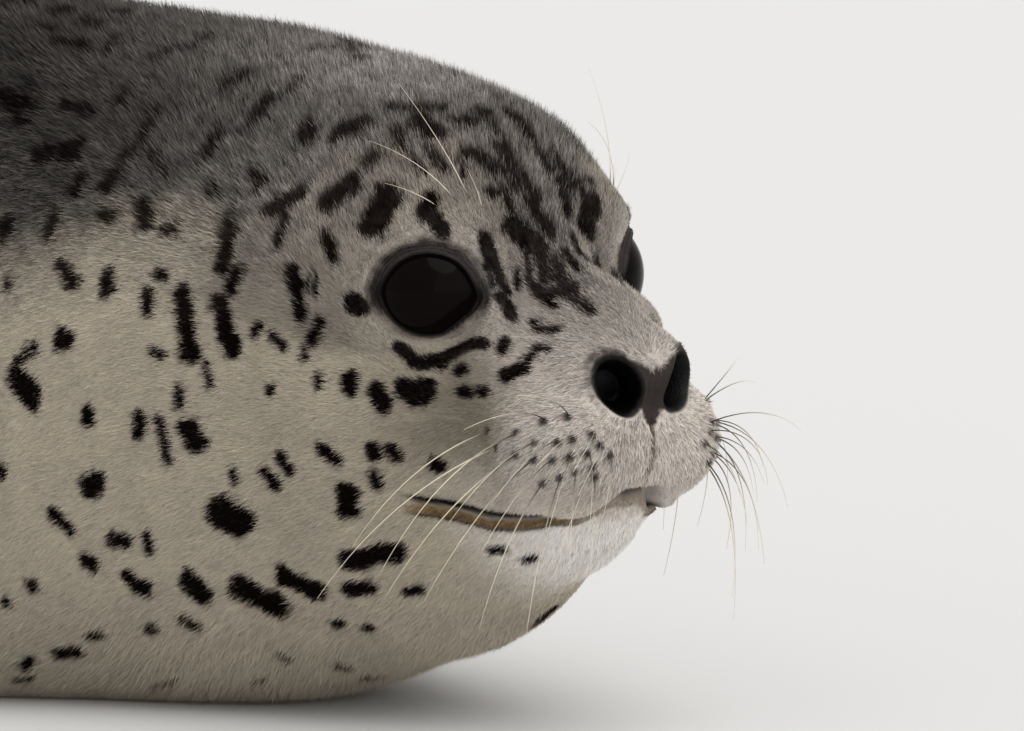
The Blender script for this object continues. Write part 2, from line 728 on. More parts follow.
tints = {name: np.array([toLight(c) for c in rgb]) for name, rgb in tints.items()}

# dark marks of the right side as (row, turn) at each end and a radius: rows are degrees from the nose's
# axis up to 90, then millimetres behind the head's centre, and turns are degrees about the body from its top
markings = {
    "flank": [
        (185, 278, 182, 278, 3), (203, 270, 196, 267, 4), (203, 273, 196, 276, 2),
        (172, 264, 172, 263, 2.5), (172, 249, 170, 250, 3.5), (210, 253, 210, 253, 2),
        (188, 245, 182, 242, 2), (165, 239, 160, 238, 2), (152, 238, 152, 236, 1.5),
        (178, 236, 175, 235, 2), (203, 233, 203, 233, 2.5), (216, 231, 216, 231, 2),
        (162, 231, 158, 229, 3), (140, 228, 138, 225, 4), (125, 224, 115, 218, 4),
        (108, 224, 100, 219, 3.5), (125, 240, 120, 238, 5), (120, 249, 120, 247, 1),
        (108, 249, 105, 246, 2), (100, 253, 98, 250, 2), (84, 256, 81, 253, 2), (81, 242, 82, 238, 3.5),
        (70, 255, 70, 253, 1.5), (72, 247, 72, 243, 1.5), (65, 254, 64, 251, 1.5),
        (152, 263, 152, 260, 2.5), (145, 262, 142, 253, 1.5), (135, 260, 132, 257, 3.5),
        (138, 269, 138, 266, 2), (140, 291, 135, 278, 3), (130, 276, 128, 271, 1),
        (125, 290, 120, 281, 3.5), (148, 278, 145, 277, 1.5), (152, 290, 152, 287, 2),
        (168, 292, 168, 290, 2.5), (110, 285, 108, 287, 1.5), (102, 285, 98, 283, 1.5),
        (95, 300, 92, 291, 2.5), (88, 285, 86, 290, 1.5), (90, 283, 90, 281, 1),
        (102, 271, 102, 271, 1.5), (85, 276, 85, 273, 1), (76, 277, 76, 273, 2), (68, 273, 66, 269, 2),
        (78, 297, 76, 296, 2.5), (86, 225, 74, 223, 3), (88, 218, 84, 217, 2.5), (100, 210, 98, 210, 1.5),
        (92, 207, 90, 207, 1.5), (115, 198, 115, 195, 1.5), (120, 187, 120, 184, 1.5),
        (125, 207, 125, 205, 1), (203, 219, 196, 219, 2.5), (222, 217, 216, 219, 2),
        (188, 222, 182, 222, 1), (162, 221, 160, 221, 1.5), (148, 221, 145, 219, 1.5),
        (229, 214, 222, 214, 1), (178, 207, 168, 208, 1), (142, 202, 138, 202, 1),
    ],
    "mantle": [
        (210, 338, 210, 343, 2), (236, 321, 222, 321, 3), (210, 312, 196, 315, 3),
        (190, 307, 190, 309, 2), (210, 323, 196, 323, 2), (188, 326, 188, 328, 1.5),
        (172, 326, 172, 318, 1.5), (175, 316, 178, 309, 2.5), (188, 338, 185, 342, 1.5),
        (180, 343, 182, 349, 1.5), (155, 336, 152, 340, 1.5), (145, 322, 145, 326, 2),
        (135, 330, 135, 336, 2.5), (132, 342, 130, 339, 1.5), (112, 330, 110, 329, 3.5),
        (98, 333, 95, 335, 4), (86, 328, 85, 330, 2), (84, 343, 81, 343, 3.5), (162, 308, 158, 304, 2.5),
        (150, 304, 148, 305, 2.5), (175, 304, 172, 304, 1.5), (125, 308, 125, 300, 3.5),
        (118, 298, 120, 295, 2.5), (150, 295, 148, 295, 1.5), (100, 316, 108, 312, 3),
        (87, 322, 90, 316, 3), (78, 323, 77, 316, 4), (69, 328, 68, 324, 2), (68, 325, 62, 323, 2),
        (122, 319, 115, 318, 1.5), (118, 316, 118, 318, 1), (87, 309, 84, 305, 1.5),
        (102, 311, 102, 305, 1.5), (188, 292, 182, 290, 2.5), (196, 301, 196, 298, 2),
        (216, 298, 216, 295, 2.5), (210, 287, 210, 287, 2), (138, 314, 135, 314, 1.5),
        (165, 318, 158, 315, 1), (229, 354, 222, 354, 2), (229, 346, 222, 346, 2),
        (145, 353, 140, 0, 1.5), (140, 1, 125, 354, 2),
    ],
    "face": [
        (54, 330, 48, 328, 2), (48, 328, 42, 326, 1.5), (50, 326, 46, 323, 1), (41, 321, 36, 316, 2),
        (44, 336, 40, 332, 1), (40, 338, 34, 338, 1.5), (66, 349, 60, 349, 2), (53, 343, 46, 347, 3.5),
        (45, 347, 30, 344, 2), (32, 340, 30, 346, 2), (61, 342, 60, 347, 1.5), (46, 6, 40, 7, 1),
        (64, 288, 58, 285, 1.5), (58, 284, 50, 285, 2), (50, 286, 45, 293, 2), (44, 294, 40, 296, 1.5),
        (59, 273, 54, 274, 3.5), (42, 275, 40, 274, 2), (37, 276, 36, 276, 1.5), (31, 285, 27, 292, 1.5),
        (44, 283, 43, 285, 1.5), (34, 297, 34, 300, 1.5), (26, 304, 24, 307, 1), (27, 297, 26, 300, 1),
        (28, 316, 24, 322, 1), (30, 319, 29, 320, 1), (54, 245, 53, 243, 1.5), (76, 212, 74, 211, 1.5),
        (51, 211, 48, 210, 1), (46, 203, 44, 202, 1),
    ],
    "forehead": [
        (70, 354, 62, 351, 2), (63, 354, 56, 354, 1.5), (61, 346, 56, 344, 1.5), (56, 352, 48, 356, 2),
        (52, 342, 48, 343, 1), (46, 343, 39, 338, 1), (44, 347, 37, 343, 1), (40, 351, 32, 346, 1.5),
        (42, 358, 34, 354, 1), (34, 338, 29, 335, 1), (29, 343, 23, 342, 1), (72, 345, 65, 348, 2),
        (80, 357, 74, 356, 2), (72, 342, 68, 339, 1), (78, 338, 72, 337, 1.5), (81, 335, 75, 333, 1),
        (86, 338, 82, 335, 1.5), (68, 4, 63, 4, 1.5), (60, 5, 57, 7, 1), (92, 343, 85, 349, 2),
        (80, 349, 78, 354, 2),
    ],
}


# the skin's points at rows and turns
def placeOnBody(row, turn):
    behind = np.maximum(row - 90, 0)
    x = layout["fanCentre"][0] - behind
    height = np.where(row > 90, axisHeight(x), layout["fanCentre"][2])
    origin = np.stack([x, 0 * x, height], 1)
    direction = around(np.radians(turn), np.radians(np.minimum(row, 90)))
    r = reach(origin, direction)
    return origin + direction * (r - coatDepth(origin + direction * r[:, None]))[:, None]


def listedMarkings():
    rows = np.array([row for group in markings.values() for row in group], float)
    a, b = placeOnBody(rows[:, 0], rows[:, 1]), placeOnBody(rows[:, 2], rows[:, 3])
    right = np.hstack([a, b, rows[:, 4:5]])
    # the left side is marked much the same, though never exactly
    left = right * [1, -1, 1, 1, -1, 1, 1]
    shift = np.tile(random.normal(0, 4.5, (len(left), 3)), 2)
    shift[:, [1, 4]] *= 0.3
    left[:, :6] += shift
    left[:, 6] *= random.uniform(0.7, 1.2, len(left))
    apart = np.abs(right[:, [1, 4]]).min(1) > 5
    return np.vstack([right, left[apart]])


# spots for the parts that have none listed: pale flanks sparsely, the dark back more thickly
scattered = {"tries": 6500, "small": 2.6, "large": 7.5, "paleGap": 8.5, "darkGap": 2.5, "listedTo": -158}


def scatterMarkings(listed):
    rows = []
    start, count = skin["parts"]["body"]
    points = skin["points"][start:start + count]
    weights = np.ones(count)
    weights[points[:, 0] > -130] = 0.1
    weights[points[:, 0] > -5] = 0
    weights[(points[:, 0] > scattered["listedTo"]) & (points[:, 1] < 6)] = 0
    weights[points[:, 2] < 6] *= 0.3
    pick = random.choice(count, scattered["tries"], p=weights / weights.sum())
    taken = np.hstack([(listed[:, :3] + listed[:, 3:6]) / 2, listed[:, 6:7]])
    for k in pick:
        p = points[k] + random.normal(0, 2.0, 3)
        upper = smoothStep(0.62, 0.85, p[2] / float(sectionSize(np.array([-p[0]]), 2)[0]))
        radius = random.uniform(scattered["small"], scattered["large"]) * mix(1.0, 0.6, upper)
        radius = radius * (0.7 if p[0] > -190 else 1.0)
        longer = random.uniform(0, 9) + 10 * upper * random.random()
        gap = radius + mix(scattered["paleGap"], scattered["darkGap"], upper)
        if (np.linalg.norm(taken[:, :3] - p, axis=1) < taken[:, 3] + gap + longer * 0.35).any():
            continue
        angle = random.normal(0.25, 0.6)
        lie = np.array([-math.cos(angle), 0, -math.sin(angle)])
        normal = skin["normal"][start + k]
        lie = unit(lie - normal * (lie @ normal))
        taken = np.vstack([taken, [*p, radius + longer * 0.35]])
        rows.append([*(p - lie * longer / 2), *(p + lie * longer / 2), radius])
    return np.array(rows)


# how dark the markings make a point: edge past the listed radius, softness, raggedness
spotEdge = {"past": 0.65, "mantleMore": 0.3, "paleSoft": 0.7, "mantleSoft": 1.2, "mantleRagged": 1.7}


def spotAmount(p, table, jitter, mantle):
    ragged = mix(1.0, spotEdge["mantleRagged"], mantle)
    rough = (1.3 * noise(p, 4.5, 1) + 0.7 * noise(p, 2.0, 2)) * ragged
    nearest = np.full(len(p), 99.0)
    for row in table:
        a, b, radius = row[:3], row[3:6], row[6]
        centre, span = (a + b) / 2, np.linalg.norm(b - a) / 2 + radius + 6
        near = np.nonzero((np.abs(p - centre) < span).all(1))[0]
        if not len(near):
            continue
        q, ab = p[near] - a, b - a
        t = np.clip(q @ ab / max(ab @ ab, 1e-6), 0, 1)
        d = np.linalg.norm(q - t[:, None] * ab, axis=1) - radius - spotEdge["past"]
        d += rough[near] * min(radius / 3.2, 1.1)
        nearest[near] = np.minimum(nearest[near], d)
    soft = mix(spotEdge["paleSoft"], spotEdge["mantleSoft"], mantle)
    return smoothStep(1, -1, (nearest - spotEdge["mantleMore"] * mantle + jitter * ragged) / soft)


# the dark of the back, 0 on the pale flanks to 1, with the mottled bridge and a pale patch over each eye
def mantleAmount(p):
    f = faceFrame(p)
    top = sectionSize(-p[:, 0], 2)
    wave = 10 * noise(p, 30.0, 5) + 6 * noise(p, 12.0, 6)
    onHead = smoothStep(-75, -15, p[:, 0])
    onBody = np.maximum(top * mix(0.67, 0.74, smoothStep(-130, -60, p[:, 0])), 60)
    boundary = mix(onBody, eyeLevel + 30.0, onHead)
    mantle = smoothStep(-26, 24, p[:, 2] + wave - boundary)
    bridge = np.exp(-((f[:, 1] / 25) ** 4)) * smoothStep(44, 30, f[:, 0]) * smoothStep(-26, -10, f[:, 2])
    blotch = noise(p * [0.5, 1, 0.45], 4.2, 12) + 0.15 * smoothStep(34, 10, f[:, 0])
    blotch = smoothStep(-0.5, 0.2, blotch)
    mantle = np.maximum(mantle, 0.9 * bridge * blotch)
    brow = np.linalg.norm((mirrored(f) - [0, 31, 25]) / [11, 9, 8], axis=1)
    return mantle * (1 - 0.8 * smoothStep(1.3, 0.6, brow + 0.25 * noise(p, 4.0, 13)))


def coatColour(p, jitter=0.0):
    f = faceFrame(p)
    mantle = mantleAmount(p)
    pale = mix(tints["pale"], tints["muzzle"], smoothStep(-5, 30, f[:, 0])[:, None])
    rear = mix(-2, -75, smoothStep(-24, -4, f[:, 2]))
    dusky = smoothStep(rear - 22, rear + 12, f[:, 0]) * smoothStep(38, 14, f[:, 0])
    dusky *= smoothStep(-68, -40, f[:, 2])
    dusky *= 0.75 + 0.35 * noise(p, 11.0, 14)
    grey = mix(tints["faceGrey"], tints["browGrey"], smoothStep(-30, 0, f[:, 2])[:, None])
    pale = mix(pale, grey, np.clip(dusky, 0, 1)[:, None])
    eye, h, v, _ = eyeRing(f)
    crescent = np.exp(-(((eye - 1.62) / 0.2) ** 2)) * smoothStep(2, 9, v + 0.4 * h)
    crescent = crescent * (0.7 + 0.5 * noise(p, 3.0, 54))
    pale = mix(pale, tints["muzzle"], np.clip(0.7 * crescent, 0, 1)[:, None])
    chin = smoothStep(-66, -74, f[:, 2]) * smoothStep(0, 30, f[:, 0])
    pale = mix(pale, tints["chin"], chin[:, None])
    bridge = np.exp(-((f[:, 1] / 25) ** 2)) * smoothStep(62, 42, f[:, 0]) * smoothStep(-34, -16, f[:, 2])
    pale = mix(pale, tints["browGrey"], (0.8 * bridge)[:, None])
    shoulder = mix(1.0, 0.72, smoothStep(-35, -125, f[:, 0]))
    colour = mix(pale, tints["mantle"] * shoulder[:, None], mantle[:, None])
    streak = noise(p * [0.4, 1, 1], 1.9, 7)
    tone = 1 + 0.08 * noise(p, 9.0, 7) + mix(0.06, 0.42, mantle) * streak
    colour = colour * tone[:, None]
    spots = spotAmount(p, spotTable, jitter, mantle)
    faded = mix(1.0, 0.92 + 0.08 * streak, mantle)
    colour = mix(colour, tints["spot"], (spots * faded)[:, None])
    onPad = np.nonzero(f[:, 0] > 10)[0]
    onRight = mirrored(f[onPad])
    for dot in whiskerDots:
        near = np.linalg.norm(onRight - dot, axis=1)
        colour[onPad] = mix(colour[onPad], tints["spot"], (0.9 * smoothStep(2.0, 0.8, near))[:, None])
    return colour


# the flippers' grey, darker towards the digits, with its spots
def flipperColour(p):
    toTip = np.where(p[:, 0] > -600, smoothStep(-270, -400, p[:, 0]), smoothStep(-910, -1060, p[:, 0]))
    colour = mix(tints["pale"] * 0.75, tints["flipper"], toTip[:, None])
    colour = colour * (1 + 0.15 * noise(p, 9.0, 3) + 0.1 * noise(p, 2.0, 4))[:, None]
    return mix(colour, tints["spot"], (0.8 * smoothStep(0.34, 0.52, noise(p, 10.0, 41)))[:, None])


# the bare skin's colour over the coat's: lips, nose, nostrils, ears and lids
def skinColour(p, jitter=0.0):
    f = faceFrame(p)
    colour = coatColour(p, jitter)
    s, here = lipHeight(f)
    ochre = smoothStep(-4.4, -3.6, s) * smoothStep(-1.0, -1.8, s) * here
    ochre = ochre * mix(1.0, 0.6, smoothStep(34, 44, f[:, 0]))
    streaks = 1 + 0.45 * noise(p, 0.9, 31) + 0.25 * noise(p, 3.0, 32)
    colour = mix(colour, tints["lipOchre"] * streaks[:, None], ochre[:, None])
    front = smoothStep(34, 42, f[:, 0])
    dark = np.exp(-(((s + 0.4 * front) / 1.2) ** 2))
    dark += 0.75 * np.exp(-(((s + 4.4) / 0.6) ** 2)) * (1 - front)
    aside = np.abs(f[:, 1])
    dark *= 1 - 0.65 * smoothStep(6, 8, aside) * smoothStep(15, 13, aside) * smoothStep(41, 44, f[:, 0])
    colour = mix(colour, tints["lipDark"], np.clip(dark * here * 1.3, 0, 1)[:, None])
    line = np.exp(-((f[:, 1] / 0.8) ** 2)) * smoothStep(-34, -36, f[:, 2])
    line = line * smoothStep(-58, -54, f[:, 2]) * smoothStep(38, 42, f[:, 0])
    colour = mix(colour, tints["lipOchre"] * 0.45, line[:, None])
    nose = noseBare(f)
    colour = mix(colour, tints["nose"] * (1 + 0.2 * noise(p, 1.5, 9))[:, None], nose[:, None])
    ring, _ = nostrilRing(f)
    margin = smoothStep(1.42, 1.12, ring + 0.12 * noise(p, 1.6, 52)) * smoothStep(-34, -24, f[:, 2])
    colour = mix(colour, tints["nose"] * 0.7, (0.8 * margin)[:, None])
    opening = smoothStep(1.2, 0.98, ring + 0.05 * noise(p, 1.2, 53))
    colour = mix(colour, tints["rim"] * 0.25, opening[:, None])
    ear = np.linalg.norm((mirrored(f) - face["earAt"]) / face["earDark"], axis=1)
    colour = mix(colour, tints["rim"], smoothStep(1.2, 0.7, ear)[:, None])
    eye, h, v, _ = eyeRing(f)
    turn = np.arctan2(v / eyeBall["tall"], h / eyeBall["wide"])
    low = smoothStep(-0.1, -0.7, np.sin(turn))
    reachOut = cornerReach(turn)
    lid = mix(1.34, 1.16, low) + 0.6 * reachOut + 0.09 * noise(p, 3.0, 33)
    grey = mix(tints["lid"], tints["lidLow"], low[:, None])
    wander = 0.9 * noise(p, 5.0, 34) + 0.5 * noise(p, 2.2, 35)
    folds = 1 + 0.28 * np.sin((eye - 1.03) / lids["foldStep"] * 2 * math.pi + 2.2 * wander)
    folds += 0.25 * noise(p, 1.2, 36)
    colour = mix(colour, grey * folds[:, None], smoothStep(0.12, -0.12, eye - lid)[:, None])
    return mix(colour, tints["rim"], smoothStep(0.05, -0.03, eye - 1.06 - reachOut)[:, None])


spotTable = listedMarkings()
spotTable = np.vstack([spotTable, scatterMarkings(spotTable)])
print("markings", len(spotTable))


def meshObject(name, points, corners, sides, places=None, colours=None):
    mesh = bpy.data.meshes.new(name)
    mesh.vertices.add(len(points))
    mesh.vertices.foreach_set("co", points.astype(np.float32).ravel())
    mesh.loops.add(len(corners))
    mesh.loops.foreach_set("vertex_index", corners.astype(np.int32))
    mesh.polygons.add(len(sides))
    mesh.polygons.foreach_set("loop_start", np.concatenate([[0], np.cumsum(sides)[:-1]]).astype(np.int32))
    mesh.polygons.foreach_set("use_smooth", np.ones(len(sides), bool))
    if places is not None:
        layer = mesh.uv_layers.new(name="OFBake")
        layer.data.foreach_set("uv", places.astype(np.float32).ravel())
    mesh.update()
    if colours is not None:
        tint = mesh.color_attributes.new("tint", "FLOAT_COLOR", "POINT")
        rgba = np.concatenate([colours, np.ones((len(colours), 1))], 1)
        tint.data.foreach_set("color", rgba.astype(np.float32).ravel())
    thing = bpy.data.objects.new(name, mesh)
    bpy.context.scene.collection.objects.link(thing)
    return thing


# a new material with its nodes, its links and its shader
def blankMaterial(name):
    material = bpy.data.materials.new(name)
    material.use_nodes = True
    tree = material.node_tree
    return material, tree.nodes, tree.links, tree.nodes["Principled BSDF"]


# a material that takes its colour from the mesh's own tint
def tintMaterial(name, roughness, specular, bump=None):
    material, nodes, links, shader = blankMaterial(name)
    tint = nodes.new("ShaderNodeAttribute")
    tint.attribute_name = "tint"
    links.new(tint.outputs["Color"], shader.inputs["Base Color"])
    shader.inputs["Roughness"].default_value = roughness
    shader.inputs["Specular IOR Level"].default_value = specular
    if bump:
        place = nodes.new("ShaderNodeTexCoord")
        grain = nodes.new("ShaderNodeTexNoise")
        grain.inputs["Scale"].default_value = bump["scale"]
        grain.inputs["Detail"].default_value = 4
        relief = nodes.new("ShaderNodeBump")
        relief.inputs["Strength"].default_value = bump["strength"]
        relief.inputs["Distance"].default_value = bump["distance"]
        links.new(place.outputs["Object"], grain.inputs["Vector"])
        links.new(grain.outputs["Fac"], relief.inputs["Height"])
        links.new(relief.outputs["Normal"], shader.inputs["Normal"])
    return material


fleshNodes = ["head", "muzzle", "lower_jaw", "nose", "neck", "shoulders", "trunk", "hips", "tail"]
fleshNodes += [kind + "_flipper_" + side for kind in ("fore", "hind") for side in ("left", "right")]


def addSkin():
    colours = skinColour(skin["plain"])
    relief = {"scale": 900, "strength": 0.35, "distance": 0.0006}
    for name, (start, count) in skin["parts"].items():
        if name.startswith(("fore", "hind")):
            colours[start:start + count] = flipperColour(skin["points"][start:start + count])
    points = toFrame(skin["points"])
    thing = meshObject("skin", points, skin["corners"], skin["sides"], skin["places"], colours)
    thing.data.materials.append(tintMaterial("skin", 0.5, 0.15, relief))
    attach(thing, "root")
    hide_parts(*fleshNodes)


addSkin()


# length, width and lift of the hair over the animal, in millimetres and radians
hair = {
    "side": {"length": 3.7, "width": 0.36, "lift": 0.20},
    "back": {"length": 5.6, "width": 0.42, "lift": 0.80},
    "belly": {"length": 6.5, "lift": 0.25, "throatLift": 0.45},
    "pad": {"length": 3.0, "lift": 0.24},
    "trunk": {"longer": 1.7, "wider": 2.3, "flatter": 0.42},
    "eye": {"lift": 0.22, "shorter": 0.62, "narrower": 0.7},
    "lips": {"length": 1.6, "frontLength": 1.1},
    "flipper": {"length": 4.0, "width": 0.8, "lift": 0.14},
}


# length, width and lift of the hair, and the way it lies, at points of the skin
def hairTable(p, region):
    f = faceFrame(p)
    top = sectionSize(-p[:, 0], 2)
    fromNose = unit(f - [60.0, 0, -18.0])
    high = smoothStep(0.66, 0.93, p[:, 2] / np.maximum(top, 1))
    neck = smoothStep(-110, -170, p[:, 0]) * smoothStep(-420, -260, p[:, 0])
    back = mix(np.array([-1.0, 0, -0.30]), np.array([-0.8, 0, -0.75]), (neck * high)[:, None])
    lie = unit(mix(back, fromNose, smoothStep(-120, -45, p[:, 0])[:, None]))
    upright = high * smoothStep(-160, -90, p[:, 0]) * smoothStep(22, -8, f[:, 0])
    lie = unit(mix(lie, np.array([-0.42, 0, 1.0]), (0.9 * upright)[:, None]))
    high = mix(high, smoothStep(8, 42, f[:, 2]), smoothStep(-75, -40, p[:, 0])) * smoothStep(40, 5, f[:, 0])
    low = smoothStep(44, 14, p[:, 2]) * (1 - high)
    throat = low * smoothStep(-150, -90, p[:, 0])
    lie = unit(mix(lie, np.array([-0.45, 0, -1.0]), (0.8 * throat)[:, None]))
    length = mix(hair["side"]["length"], hair["back"]["length"], high)
    length = mix(length, hair["belly"]["length"], low)
    length *= mix(1.0, 0.7, smoothStep(-40, 20, f[:, 0]) * (1 - 0.5 * high))
    pad = smoothStep(8, 26, f[:, 0]) * smoothStep(-22, -32, f[:, 2])
    length = mix(length, hair["pad"]["length"], pad)
    lift = mix(hair["side"]["lift"], hair["back"]["lift"], high)
    lift = mix(lift, mix(hair["belly"]["lift"], hair["belly"]["throatLift"], throat), low)
    lift = mix(lift, hair["pad"]["lift"], pad)
    width = mix(hair["side"]["width"], hair["back"]["width"], high)
    trunk = smoothStep(-160, -280, p[:, 0])
    length = length * mix(1.0, hair["trunk"]["longer"], trunk)
    width = width * mix(1.0, hair["trunk"]["wider"], trunk)
    lift = lift * mix(1.0, hair["trunk"]["flatter"], trunk)
    eye = eyeRing(f)[0]
    nearEye = smoothStep(2.6, 1.4, eye)
    length *= mix(1, hair["eye"]["shorter"], nearEye) * mix(1, 0.6, smoothStep(1.4, 1.15, eye))
    width = width * mix(1, hair["eye"]["narrower"], nearEye)
    lips, here = lipHeight(f)
    length = mix(length, hair["lips"]["length"], np.exp(-(((lips + 1.0) / 3.0) ** 2)) * here)
    front = np.exp(-((lips / 5.0) ** 2)) * here * smoothStep(28, 38, f[:, 0])
    length = mix(length, hair["lips"]["frontLength"], front)
    lift = mix(lift, hair["eye"]["lift"], nearEye)
    if region == "flipper":
        length, width, lift = (np.full(len(p), hair["flipper"][key]) for key in ("length", "width", "lift"))
        lie = np.tile([-1.0, 0, -0.05], (len(p), 1))
    return length, width, lift, lie


# where no hair grows: lips, nose, nostrils, eyelids and eye openings
def bare(p):
    f = faceFrame(p)
    s, here = lipHeight(f)
    eye, h, v, _ = eyeRing(f)
    turn = np.arctan2(v / eyeBall["tall"], h / eyeBall["wide"])
    lidEdge = mix(1.10, 1.07, smoothStep(-0.1, -0.7, np.sin(turn))) + 0.6 * cornerReach(turn)
    none = (noseBare(f) > 0.5) | (eye < lidEdge)
    none |= (s > -1.7) & (s < 0.4) & (here > 0.5)
    none |= (np.abs(f[:, 1]) < 0.7) & (f[:, 0] > 40) & (f[:, 2] < -34) & (f[:, 2] > -55)
    return none


# random points over chosen triangles of the skin, by area and weight
def rootPoints(chosen, count):
    tri, weight = chosen
    a, b, c = (skin["points"][tri[:, k]] for k in range(3))
    area = np.linalg.norm(np.cross(b - a, c - a), axis=1) / 2 * weight
    total = np.cumsum(area)
    pick = np.searchsorted(total, random.random(count) * total[-1])
    r, s = random.random(count), random.random(count)
    flip = r + s > 1
    r[flip], s[flip] = 1 - r[flip], 1 - s[flip]
    w = np.stack([1 - r - s, r, s], 1)
    spread = lambda key: sum(skin[key][tri[pick, k]] * w[:, k:k + 1] for k in range(3))
    return spread("points"), spread("plain"), unit(spread("normal")), pick, w


def skinTriangles():
    sides, corners = skin["sides"], skin["corners"]
    starts = np.concatenate([[0], np.cumsum(sides)[:-1]])
    first = np.stack([starts, starts + 1, starts + 2], 1)
    quad = sides == 4
    second = np.stack([starts[quad], starts[quad] + 2, starts[quad] + 3], 1)
    loops = np.concatenate([first, second])
    return corners[loops], skin["places"][loops]


triangles, trianglePlaces = skinTriangles()
triangleMiddle = skin["points"][triangles].mean(1)


def partOf(name):
    start, count = skin["parts"][name]
    return (triangles[:, 0] >= start) & (triangles[:, 0] < start + count)


bodyPart = partOf("body") | partOf("lid_left") | partOf("lid_right")
x, y, z = triangleMiddle.T
coatPieces = {
    "coat_face_right": {"where": bodyPart & (x > -62) & (y < 0), "count": 195000},
    "coat_face_left": {"where": bodyPart & (x > -62) & (y >= 0), "count": 120000},
    "coat_neck_right": {"where": bodyPart & (x <= -62) & (x > -200) & (y < 0), "count": 195000},
    "coat_neck_left": {"where": bodyPart & (x <= -62) & (x > -200) & (y >= 0), "count": 110000},
    "coat_shoulders": {"where": bodyPart & (x <= -200) & (x > -460), "count": 190000},
    "coat_trunk": {"where": bodyPart & (x <= -460) & (x > -700), "count": 180000},
    "coat_hips": {"where": bodyPart & (x <= -700), "count": 120000},
    "coat_flippers": {"where": ~bodyPart, "count": 60000, "region": "flipper"},
}


# one piece of the coat: a flat three-cornered tuft at each root, paler towards its tip
def addCoat(name, piece):
    region = piece.get("region", "body")
    where = piece["where"] & (triangleMiddle[:, 2] > (0.8 if region == "flipper" else 1.2))
    tri = triangles[where]
    middle = triangleMiddle[where]
    weight = np.ones(len(tri))
    if region == "body":
        weight[bare(skin["plain"][tri].mean(1))] = 0
        weight[bodyField(middle) < -9] = 0
    else:
        weight[bodyField(middle) < -1] = 0
    count = piece["count"]
    p, plain, n, pick, w = rootPoints((tri, weight), count)
    if region == "body":
        keep = ~bare(plain)
        p, plain, n, pick, w = (each[keep] for each in (p, plain, n, pick, w))
    count = len(p)
    length, width, lift, lie = hairTable(plain, region)
    swirl = np.stack([noise(p, 14.0, 21), noise(p, 14.0, 22), noise(p, 14.0, 23)], 1)
    lie = lie + 0.16 * swirl + random.normal(0, 0.20, (count, 3))
    lie = unit(lie - n * (lie * n).sum(1)[:, None])
    aside = np.cross(n, lie)
    lift = np.clip(lift * random.normal(1, 0.22, count), 0.03, 1.2)
    length = length * random.uniform(0.7, 1.2, count)
    ahead = lie * np.cos(lift)[:, None] + n * np.sin(lift)[:, None]
    roll = random.normal(0, 0.35, count)
    flat = aside * np.cos(roll)[:, None] + n * np.sin(roll)[:, None]
    root = p - n * 0.25
    half = (width * random.uniform(0.7, 1.3, count) / 2)[:, None]
    left, right, tip = root - flat * half, root + flat * half, p + ahead * length[:, None]
    points = np.stack([left, right, tip], 1).reshape(-1, 3)
    points[:, 2] = np.maximum(points[:, 2], 0.2)
    if region == "body":
        colour = coatColour(plain + ahead * length[:, None] * 0.4, random.normal(0, 0.6, count))
        facial = plain[:, 0] > -45
        along = plain[facial] + ahead[facial] * length[facial, None] * 0.3
        colour[facial] = skinColour(along, random.normal(0, 0.5, facial.sum()))
        dark = mantleAmount(p)[:, None]
    else:
        colour = flipperColour(plain + ahead * length[:, None] * 0.4)
        dark = np.zeros((count, 1))
    muzzle = smoothStep(5, 35, plain[:, 0]) * smoothStep(eyeLevel - 62, eyeLevel - 50, plain[:, 2])
    muzzle = np.maximum(muzzle, smoothStep(2.6, 1.6, eyeRing(faceFrame(plain))[0]))[:, None]
    crown = smoothStep(46, 62, plain[:, 2] - eyeLevel)[:, None] * smoothStep(-200, -90, plain[:, :1])
    shade = 1 + random.normal(0, 1, (count, 1)) * mix(mix(0.15, 0.30, muzzle), 0.5, dark)
    shade = np.clip(shade, 0.3, 2.4)
    nape = smoothStep(-40, -140, plain[:, :1])
    darkTip = (3.0 + 1.8 * crown) * mix(1.0, 0.52, nape)
    rootColour = colour * shade * mix(mix(0.78, 0.62, muzzle), 0.24, dark)
    tipColour = colour * shade * mix(mix(1.15, 1.28, muzzle), darkTip, dark)
    colours = np.stack([rootColour, rootColour, tipColour], 1).reshape(-1, 3)
    corner = trianglePlaces[where][pick]
    at = (corner * w[:, :, None]).sum(1)
    low, high = at.min(0), at.max(0)
    at = 0.004 + (at - low) / (high - low) * 0.992
    patch = np.array([[-0.0015, -0.0013], [0.0015, -0.0013], [0.0, 0.0015]])
    places = (at[:, None, :] + patch).reshape(-1, 2)
    corners = np.arange(3 * count)
    thing = meshObject(name, toFrame(points), corners, np.full(count, 3), places, np.clip(colours, 0.002, 1))
    thing.data.materials.append(furMaterial)
    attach(thing, "root")


furMaterial = tintMaterial("fur", 0.8, 0.02)
for name, piece in coatPieces.items():
    addCoat(name, piece)
print("coat done")


# four-sided faces of a tube, ring after ring
def tubeCells(rings, columns):
    c, n = ringPairs(columns)
    cells = [np.stack([k * columns + c, k * columns + n, (k + 1) * columns + n, (k + 1) * columns + c], 1)
             for k in range(rings - 1)]
    return np.concatenate(cells)


